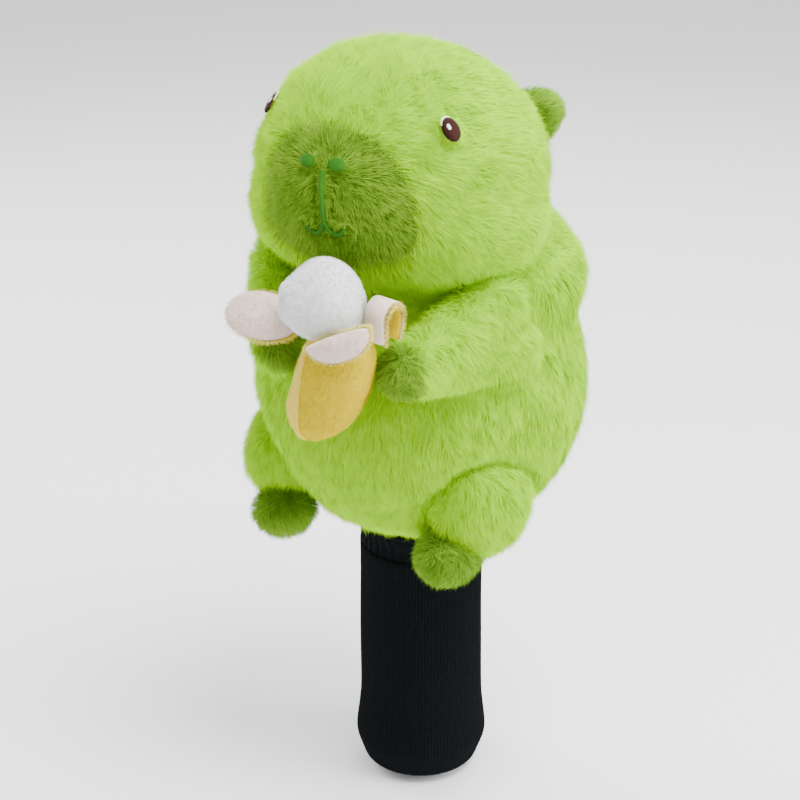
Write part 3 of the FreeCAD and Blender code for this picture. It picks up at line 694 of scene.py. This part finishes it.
stitches = []
for row in MOUTH:
    walk = np.concatenate([[0], np.cumsum(np.linalg.norm(np.diff(row, axis=0), axis=1))])
    for at in np.arange(0.2, walk[-1], 0.46):
        here = np.array([np.interp(at, walk, row[:, k]) for k in range(3)])
        ahead = np.array([np.interp(min(at + 0.6, walk[-1]), walk, row[:, k]) for k in range(3)])
        back = np.array([np.interp(max(at - 0.6, 0), walk, row[:, k]) for k in range(3)])
        out = unit(slope(form, here[None]))[0]
        run = unit(ahead - back)
        cross = unit(np.cross(out, run)) + 0.35 * run
        stitches.append([here + cross * t + out * (0.4 + 0.75 * math.cos(t * 1.5))
                         for t in np.linspace(-0.95, 0.95, 6)])
mouth = tubes("mouth_thread", stitches, 0.26)
dress(mouth, emerald, "cover_body", "mouth_stitch", slot="green_thread")

# ------------------------------------------------------------------ banana: peel, seam and fruit
BANANA = "arms_and_banana"
POD = np.array([13.5, -105, 113.0])
RIM = 137.0
pod = melt(6, egg(POD + [3.5, 0, 3], (17.5, 16, 31), turn("Y", 20)), egg((6, -107, 98), (11, 11, 13)))


def seam_x(z):
    """Where the pod's seam runs at height z."""
    return 6.5 + 0.12 * (z - 105)


def seam_side(p):
    """Above zero on the front panel, below zero on the narrow side panel."""
    return p[:, 0] - seam_x(p[:, 2])


def velvet(label, roots, field, body, shades, slot, flow=(0, 0, -1), length=1.0, seed=31):
    """Short upright pile without tufts."""
    furry(label, roots, field, body, shades, flow, length, slot, width=0.13, lean=30, seed=seed, clump=1,
          unruly=1.3)


fuzz = 4.5  # velvet fibres per square millimetre
open_pod = lambda p: np.maximum(pod(p), p[:, 2] - RIM)
pod_points, pod_quads = surface(open_pod, (-16, -126, 70), (44, -84, 142), 1.5)
near_seam = np.flatnonzero(np.abs(seam_side(pod_points)) < 0.9)
cover = quad_object("pod_cover", pod_points, pod_quads)
puff(cover, 1.3, 40, near_seam)
pod_points = mesh_points(cover)
bpy.data.objects.remove(cover)
middle_side = seam_side(pod_points[pod_quads].mean(1))
for label, chosen, backing, shades, slot in (
        ("banana_pod_front", middle_side >= 0, golden_cloth, golden, "peel_plush"),
        ("banana_pod_side", middle_side < 0, butter_cloth, butter, "peel_side_plush")):
    used, again = np.unique(pod_quads[chosen], return_inverse=True)
    part = quad_object(label + "_cloth", pod_points[used], again.reshape(-1, 4))
    wall = part.modifiers.new("wall", "SOLIDIFY")
    wall.thickness = 1.8 * MM
    wall.offset = -1
    bpy.context.view_layer.objects.active = part
    bpy.ops.object.select_all(action="DESELECT")
    part.select_set(True)
    bpy.ops.object.modifier_apply(modifier="wall")
    dress(part, backing, BANANA, label, slot=slot)
    pile_roots = scatter(pod_points, pod_quads[chosen], fuzz, rng)
    pile_roots = pile_roots[pile_roots[:, 2] < RIM - 0.6]
    velvet(label + "_pile", pile_roots, pod, BANANA, shades, slot)

stuffed = lambda p: np.maximum(pod(p) + 3.0, p[:, 2] - RIM + 8)
core = quad_object("banana_stuffing_fibre", *surface(stuffed, (-16, -126, 70), (44, -84, 134), 2.0))
dress(core, fibre_white, BANANA, "banana_stuffing", slot="stuffing")
front_line, back_line = [], []
for z in np.linspace(80.0, RIM - 1.0, 40):
    at = seam_x(z)
    ring = settle(pod, np.array([[at, -121.0, z], [at, -89.0, z]]), 1)
    for _ in range(8):
        ring[:, 0], ring[:, 2] = at, z
        ring = settle(pod, ring, 1)
    if abs(pod(ring)).max() < 0.5:
        front_line.append(ring[0])
        back_line.append(ring[1])
welt_line = smooth_line(np.array(front_line[::-1] + back_line), 2)
welt = tubes("pod_welt", [welt_line], 1.15, 8)
dress(welt, butter_cloth, BANANA, slot="peel_side_plush")
welt_roots = np.repeat(welt_line, 40, 0) + rng.normal(0, 0.5, (len(welt_line) * 40, 3))
velvet("pod_welt_pile", welt_roots, grow(pod, 1), BANANA, butter, "peel_side_plush", length=1.2, seed=33)

fruit = melt(6, egg((14, -105, 150), (17, 17, 21), turn("Y", -14)), egg((6, -113, 152), (11, 11, 11)))
fruit_field = lambda p: np.maximum(fruit(p), RIM + 0.2 - p[:, 2])
fruit_points, fruit_quads = surface(fruit_field, (-16, -134, 132), (36, -82, 176), 1.5)
ball = quad_object("banana_fruit_cloth", fruit_points, fruit_quads)
tip = settle(fruit, np.array([[-2.0, -121.0, 154.0]]))[0]
pucker = np.flatnonzero(np.linalg.norm(fruit_points - tip, axis=1) < 2.0)
puff(ball, 1.0, 40, pucker)
fruit_points = mesh_points(ball)
reach = np.linalg.norm(fruit_points - tip, axis=1)
swirl = np.arctan2(fruit_points[:, 2] - tip[2], fruit_points[:, 0] - tip[0])
dent = np.exp(-(reach / 4.5) ** 2) * (2.8 + 1.0 * np.cos(5 * swirl + reach * 0.8))
dent -= 0.8 * np.exp(-((reach - 7.5) / 1.8) ** 2) * (0.7 + 0.3 * np.cos(2 * swirl + 1))
fruit_points -= unit(slope(fruit, fruit_points)) * dent[:, None]
ball.data.vertices.foreach_set("co", (fruit_points * MM).astype(np.float32).ravel())
ball.data.update()
dress(ball, ivory_cloth, BANANA, "banana_fruit", slot="fruit_plush")
pile_roots = scatter(fruit_points, fruit_quads, fuzz, rng)
pile_roots = pile_roots[pile_roots[:, 2] > RIM + 1]
velvet("banana_fruit_pile", pile_roots, fruit, BANANA, ivory, "fruit_plush", seed=35)


# ------------------------------------------------------------------ peel flaps
def leaf(label, body, place, along, upward, long, wide, thick, curl, straight=1.0, tilt=0.0, bow=0.0):
    """A leaf-shaped pad in two layers: inner cloth on the side its normal faces, peel on the other."""
    normal = np.cross(along, upward)
    rings, sectors = 9, 56
    angle = np.arange(sectors) * 2 * np.pi / sectors
    rho = np.linspace(0, 1, rings + 1)[1:]
    u = np.concatenate([[0], (rho[:, None] * np.cos(angle)).ravel()])
    v = np.concatenate([[0], (rho[:, None] * np.sin(angle)).ravel()])
    height = np.sqrt(np.clip(1 - u * u - v * v, 0, 1)) ** 1.1
    v = np.where(v > 0, v * straight, v)
    c, s = math.cos(tilt), math.sin(tilt)
    x, y = long * u * c - wide * v * s, long * u * s + wide * v * c
    lift = curl * (u ** 2) + bow * v ** 2
    base = place + x[:, None] * along + y[:, None] * upward + lift[:, None] * normal
    cap = [[0, 1 + j, 1 + (j + 1) % sectors] for j in range(sectors)]
    web = []
    for i in range(rings - 1):
        for j in range(sectors):
            k = (j + 1) % sectors
            near, far = 1 + i * sectors, 1 + (i + 1) * sectors
            web.append([near + j, far + j, far + k, near + k])
    count = len(base)
    rim = np.array([count - sectors + j for j in range(sectors)])
    for part_name, way, backing, shades, slot in (("inner", 1, blush_cloth, blush, "peel_inner"),
                                                  ("peel", -1, golden_cloth, golden, "peel_plush")):
        outer = base + way * (0.12 + thick * height)[:, None] * normal
        level = base + way * 0.12 * normal
        loops, starts = [], []
        faces = [list(f) for f in cap + web]
        under = [[i + count for i in reversed(f)] for f in faces]
        edge = [[rim[j], rim[j] + count, rim[(j + 1) % sectors] + count, rim[(j + 1) % sectors]]
                for j in range(sectors)]
        for f in faces + under + edge:
            starts.append(len(loops))
            loops += f if way > 0 else f[::-1]
        part = add_mesh("%s_%s_cloth" % (label, part_name), np.concatenate([outer, level]), loops, starts)
        dress(part, backing, body, "%s_%s" % (label, part_name), slot=slot)
        web_quads = np.array(web)
        hair = scatter(outer, web_quads, fuzz, rng)
        face_normal = np.broadcast_to(normal * way, hair.shape)
        fluff = pile("%s_%s_pile" % (label, part_name), hair, face_normal, np.broadcast_to(along, hair.shape),
                     np.full(len(hair), 0.9), 0.13, 30, rng, 41, 1, 0, 0.0, len(shades), 1.3)
        dress(fluff, shades, body, slot=slot)
    edge_points = np.repeat(base[rim], 40, 0)
    edge_points = edge_points + rng.normal(0, 0.6, edge_points.shape) - 1.3 * normal
    outward = unit(edge_points - place) - 0.3 * normal
    fringe = pile(label + "_rim_pile", edge_points, unit(outward),
                  np.broadcast_to(-normal, edge_points.shape), np.full(len(edge_points), 1.6),
                  0.16, 25, rng, 43, 1, 0, 0.1, len(butter), 1.3)
    dress(fringe, butter, body, slot="peel_side_plush")


c55, s55 = math.cos(math.radians(55)), math.sin(math.radians(55))
leaf("flap_left", "flap_left", np.array([-20, -109, 139.5]), np.array([1.0, 0, 0]), np.array([0, c55, s55]),
     20.5, 11.3, 3.0, -1.5)
fold = turn("Z", 20)
fold_x = fold @ np.array([1.0, 0, 0])
fold_out = fold @ np.array([0, -1.0, 0])
fold_up = unit(np.array([0, 0, 1.0]) - 0.1 * fold_out)
front_place = POD + fold_out * 21.2 + fold_x * 9.5 + np.array([0, 0, 28.6])
leaf("flap_front", "flap_front", front_place, fold_x, fold_up, 15.0, 10.5, 2.4, -1.5, straight=0.22,
     tilt=math.radians(22), bow=-1.5)

CURL = np.array([39.8, -98, 147.0])
FACING = math.radians(78)
CURL_X = np.array([math.cos(FACING), math.sin(FACING), 0])
CURL_Y = np.array([-math.sin(FACING), math.cos(FACING), 0])
arc = [(-4.6, -10.5), (-5.4, -3)]
arc += [(-5.4 * math.cos(a), 7.0 * math.sin(a)) for a in np.radians(np.arange(10, 171, 16))]
arc += [(5.4, -3), (4.4, -10.5)]
arc = smooth_line(arc, 3)
tangent = unit(np.gradient(arc, axis=0))
sideways = np.stack([-tangent[:, 1], tangent[:, 0]], 1)
for part_name, low, high, backing, slot in (("inner", 0.05, 1.7, blush_cloth, "peel_inner"),
                                            ("peel", -1.7, -0.05, golden_cloth, "peel_plush")):
    rows = []
    widths = np.linspace(0, 1, len(arc))
    half = 6.2 * (1 - 0.25 * (2 * widths - 1) ** 4)
    section = [(-1, 0.25), (-0.9, 1), (0, 1), (0.9, 1), (1, 0.25), (1, 0), (0, 0), (-1, 0)]
    near, far = (low, high) if part_name == "inner" else (high, low)
    for across_y, depth in section:
        offset = near + (far - near) * depth
        spot = arc + sideways * offset
        rows.append(CURL + spot[:, :1] * CURL_X + (across_y * half)[:, None] * CURL_Y + spot[:, 1:] * UP)
    verts = np.stack(rows, 1).reshape(-1, 3)
    k = len(section)
    faces = [[i * k + j, i * k + (j + 1) % k, (i + 1) * k + (j + 1) % k, (i + 1) * k + j]
             for i in range(len(arc) - 1) for j in range(k)]
    faces = [f if part_name == "inner" else f[::-1] for f in faces]
    ends = [list(range(k))[::-1], [(len(arc) - 1) * k + j for j in range(k)]]
    ends = ends if part_name == "inner" else [f[::-1] for f in ends]
    loops, starts = [], []
    for f in faces + ends:
        starts.append(len(loops))
        loops += f
    part = add_mesh("flap_right_%s_cloth" % part_name, verts, loops, starts)
    dress(part, backing, "flap_right", "flap_right_" + part_name, slot=slot)
rim_points = CURL + arc[:, :1] * CURL_X - (half + 0.2)[:, None] * CURL_Y + arc[:, 1:] * UP
rim_points = np.repeat(rim_points, 60, 0)
rim_points = rim_points + rng.normal(0, 0.6, rim_points.shape)
fringe = pile("flap_right_rim_pile", rim_points, np.broadcast_to(-CURL_Y, rim_points.shape),
              np.broadcast_to(UP, rim_points.shape), np.full(len(rim_points), 1.5),
              0.16, 25, rng, 47, 1, 0, 0.1, len(butter), 1.4)
dress(fringe, butter, "flap_right", slot="peel_side_plush")

# ------------------------------------------------------------------ knitted sleeve and its gathered top
def knit_outline(r, b, mouth_r, bottom, thick):
    """Section of the knit down its outer side and back up inside, and which points are outer."""
    outside = [(r, -15.0), (r - 0.3, -35.0), (r + 0.1, -70.0), (r + 0.3, -104.0), (r + 1.2, -116.0),
               (b, -127.0), (b, -133.0), (b - 2.4, -140.5), (mouth_r + 3.0, bottom + 1.2), (mouth_r, bottom)]
    inside = [(x - thick, z + (thick if z < -138 else 0)) for x, z in reversed(outside)]
    outside, inside = smooth_line(outside, 6), smooth_line(inside, 3)
    return np.concatenate([outside, inside]), np.concatenate([np.ones(len(outside)), np.zeros(len(inside))])


outline, outer = knit_outline(32.5, 35.0, 27.6, -147.0, 1.5)
knit = spin("sleeve_knit_cloth", outline, 480, 120, 0.55, 0.35, outer)
dress(knit, knit_black, "sleeve", "sleeve_knit", slot="knit")
rows, cols = 12, 240
z = np.linspace(-15.6, -3.2, rows)
angle = np.arange(cols) * 2 * np.pi / cols
pleat = 0.55 * np.cos(angle * 40)[:, None] * np.sin(np.linspace(0.3, 2.8, rows))[None]
base_r = np.interp(z, [-15.6, -10, -3.2], [32.2, 31.6, 32.9])
outer_r = base_r[None] + pleat
inner_r = outer_r - 1.5
ring = np.concatenate([outer_r, inner_r[:, ::-1]], 1)
ring_z = np.concatenate([z, z[::-1]])
verts = np.stack([ring * np.cos(angle)[:, None], ring * np.sin(angle)[:, None],
                  np.broadcast_to(ring_z, ring.shape)], -1).reshape(-1, 3)
i, j = np.meshgrid(np.arange(cols), np.arange(2 * rows), indexing="ij")
i, j = i.ravel(), j.ravel()
i2, j2 = (i + 1) % cols, (j + 1) % (2 * rows)
gather_quads = np.stack([i * 2 * rows + j, i * 2 * rows + j2, i2 * 2 * rows + j2, i2 * 2 * rows + j], 1)
gathered = quad_object("sleeve_gather_cloth", verts, gather_quads)
gathered.data.materials.append(knit_black)
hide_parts("sleeve_gather")
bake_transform(gathered)

finishes = {"sleeve_lining": lining_black, "sleeve_hem": elastic_black, "pocket_binding": elastic_black,
            "throat_lining": lining_black, "body_padding": fibre_white, "head_stuffing": fibre_white,
            "muzzle_stuffing": fibre_white}
for row in ("front_left", "front_right", "back_left", "back_right"):
    finishes["lining_" + row] = lining_black
for node_name, finish in finishes.items():
    if node_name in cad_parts:
        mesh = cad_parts[node_name].data
        mesh.materials.clear()
        mesh.materials.append(finish)

# ------------------------------------------------------------------ camera, light and floor
AZIMUTH, ELEVATION, DISTANCE, FIELD_OF_VIEW = 32, 23, 0.9, 25.5
target = Vector((-0.006, -0.012, 0.066))
az, el = math.radians(AZIMUTH), math.radians(ELEVATION)
eye = target + DISTANCE * Vector((math.sin(az) * math.cos(el), -math.cos(az) * math.cos(el), math.sin(el)))
camera = bpy.data.objects.new("camera", bpy.data.cameras.new("camera"))
bpy.context.scene.collection.objects.link(camera)
camera.location = eye
camera.rotation_euler = (target - eye).to_track_quat("-Z", "Y").to_euler()
camera.data.sensor_width = 36
camera.data.lens = 18 / math.tan(math.radians(FIELD_OF_VIEW) / 2)
camera.data.clip_start = 0.01
camera.data.dof.use_dof = False
bpy.context.scene.camera = camera


def lamp(name, position, aim, size, power):
    data = bpy.data.lights.new(name, "AREA")
    data.shape = "DISK"
    data.size = size
    data.energy = power
    obj = bpy.data.objects.new(name, data)
    bpy.context.scene.collection.objects.link(obj)
    obj.location = position
    obj.rotation_euler = (Vector(aim) - Vector(position)).to_track_quat("-Z", "Y").to_euler()


lamp("key", (0.55, -0.15, 1.4), (0, 0, 0.08), 0.8, 40)
lamp("fill", (-1.2, 0.05, 0.7), (0, 0, 0.08), 1.0, 15)
lamp("side", (1.3, 0.3, 0.7), (0, 0, 0.1), 0.9, 19)
lamp("back", (-0.3, 1.1, 0.9), (0, 0, 0.1), 0.9, 8)
world = bpy.context.scene.world or bpy.data.worlds.new("world")
bpy.context.scene.world = world
world.use_nodes = True
world.node_tree.nodes["Background"].inputs["Color"].default_value = (1, 1, 1, 1)
world.node_tree.nodes["Background"].inputs["Strength"].default_value = 1.1
bpy.ops.mesh.primitive_plane_add(size=30, location=(0, 0, -0.152))
floor = bpy.context.object
floor.name = "floor"
floor.data.materials.append(material("floor_white", (1, 1, 1), 0.9))
